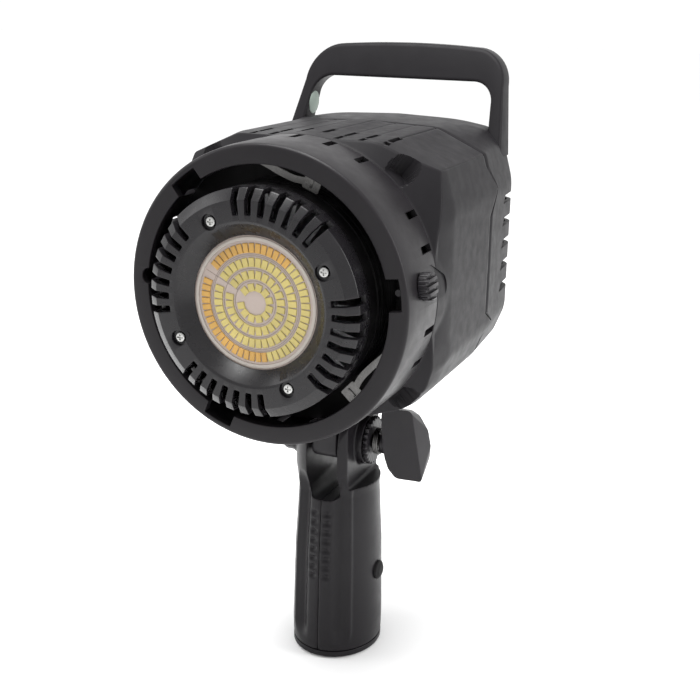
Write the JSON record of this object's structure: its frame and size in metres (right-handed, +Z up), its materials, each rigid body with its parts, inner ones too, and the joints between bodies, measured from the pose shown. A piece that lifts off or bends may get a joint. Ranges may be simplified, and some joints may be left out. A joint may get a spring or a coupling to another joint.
{
  "type": "handheld led spotlight",
  "caption": "LED studio spotlight with a three-lug bayonet collar, vented bezel, carrying handle and a tilting pistol grip with a wing knob.",
  "frame": {"origin": "centre of the pistol grip's bottom face, at the tripod thread's mouth", "axes": "-Y is the way the lamp points at rest, +X is the side of the wing knob and the release knob, +Z is up along the grip"},
  "size_m": [0.1413, 0.1946, 0.315],
  "materials": {
    "housing_grey": "fine spark-eroded texture, satin",
    "collar_grey": "satin moulded plastic with a turned front face",
    "black_plastic": "satin black moulding",
    "bezel_black": "semi-gloss black moulding",
    "grip_black": "fine leather-like texture on black plastic",
    "screw_steel": "zinc plated",
    "spring_steel": "blank spring steel",
    "aluminium": "extruded, matt",
    "led_white": "white solder mask with rings of small phosphor chips",
    "circuit_green": "solder mask over copper",
    "rubber_black": "soft matt rubber",
    "display_glass": "smoked clear window over a blank display",
    "brass": "machined"
  },
  "bodies": {
    "grip": {"grip_shell_left": "grip_black", "grip_shell_right": "grip_black", "grip_base": "grip_black", "thread_bushing": "brass", "grip_screw_1": "screw_steel", "grip_screw_2": "screw_steel", "grip_plug": "rubber_black", "tilt_bolt": "screw_steel", "nut_cap": "black_plastic", "friction_washer_1": "spring_steel", "friction_washer_2": "spring_steel", "toothed_washer": "black_plastic", "pressure_spring": "spring_steel"},
    "lamp": {"front_collar": "collar_grey", "lug_spring_1": "spring_steel", "lug_spring_2": "spring_steel", "lug_spring_3": "spring_steel", "vent_bezel": "bezel_black", "bezel_screw_1": "screw_steel", "bezel_screw_2": "screw_steel", "bezel_screw_3": "screw_steel", "bezel_screw_4": "screw_steel", "led_board": "led_white", "heat_sink": "aluminium", "lamp_barrel": "black_plastic", "bulkhead": "black_plastic", "main_shell": "housing_grey", "rear_cover": "housing_grey", "carry_handle": "housing_grey", "control_panel": "black_plastic", "display_window": "display_glass", "panel_board": "circuit_green", "rocker_bezel": "black_plastic", "power_inlet": "display_glass", "fan_frame": "black_plastic", "driver_board": "circuit_green", "power_supply": "circuit_green", "tilt_arm": "black_plastic"},
    "release": {"release_knob": "black_plastic"},
    "fan": {"fan_rotor": "black_plastic"},
    "brightness": {"brightness_dial": "rubber_black"},
    "colour": {"colour_dial": "rubber_black"},
    "button_1": {"push_button_1": "rubber_black"},
    "button_2": {"push_button_2": "rubber_black"},
    "rocker": {"power_rocker": "display_glass"},
    "wing": {"wing_knob": "black_plastic"}
  },
  "joints": [
    {"name": "lamp_tilt", "type": "hinge", "parent": "grip", "child": "lamp", "pos_m": [0, 0, 0.118], "axis": [1, 0, 0], "range_deg": [-80, 80]},
    {"name": "wing_turn", "type": "hinge", "parent": "grip", "child": "wing", "pos_m": [0, 0, 0.118], "axis": [1, 0, 0], "range_deg": [-90, 90]},
    {"name": "release_slide", "type": "slide", "parent": "lamp", "child": "release", "axis": [0, 1, 0], "range_m": [0, 0.012], "stiffness_N_per_m": 300, "springref_m": -0.003},
    {"name": "fan_spin", "type": "hinge", "parent": "lamp", "child": "fan", "pos_m": [0, 0.041, 0.211], "axis": [0, 1, 0], "continuous": true},
    {"name": "brightness_turn", "type": "hinge", "parent": "lamp", "child": "brightness", "pos_m": [-0.024, 0.081, 0.203], "axis": [0, 1, 0], "range_deg": [-140, 140]},
    {"name": "colour_turn", "type": "hinge", "parent": "lamp", "child": "colour", "pos_m": [0.024, 0.081, 0.203], "axis": [0, 1, 0], "range_deg": [-140, 140]},
    {"name": "button_1_press", "type": "slide", "parent": "lamp", "child": "button_1", "axis": [0, -1, 0], "range_m": [0, 0.0009], "stiffness_N_per_m": 400, "springref_m": -0.001},
    {"name": "button_2_press", "type": "slide", "parent": "lamp", "child": "button_2", "axis": [0, -1, 0], "range_m": [0, 0.0009], "stiffness_N_per_m": 400, "springref_m": -0.001},
    {"name": "rocker_tip", "type": "hinge", "parent": "lamp", "child": "rocker", "pos_m": [-0.026, 0.0806, 0.181], "axis": [0, 0, 1], "range_deg": [-8, 8]}
  ]
}
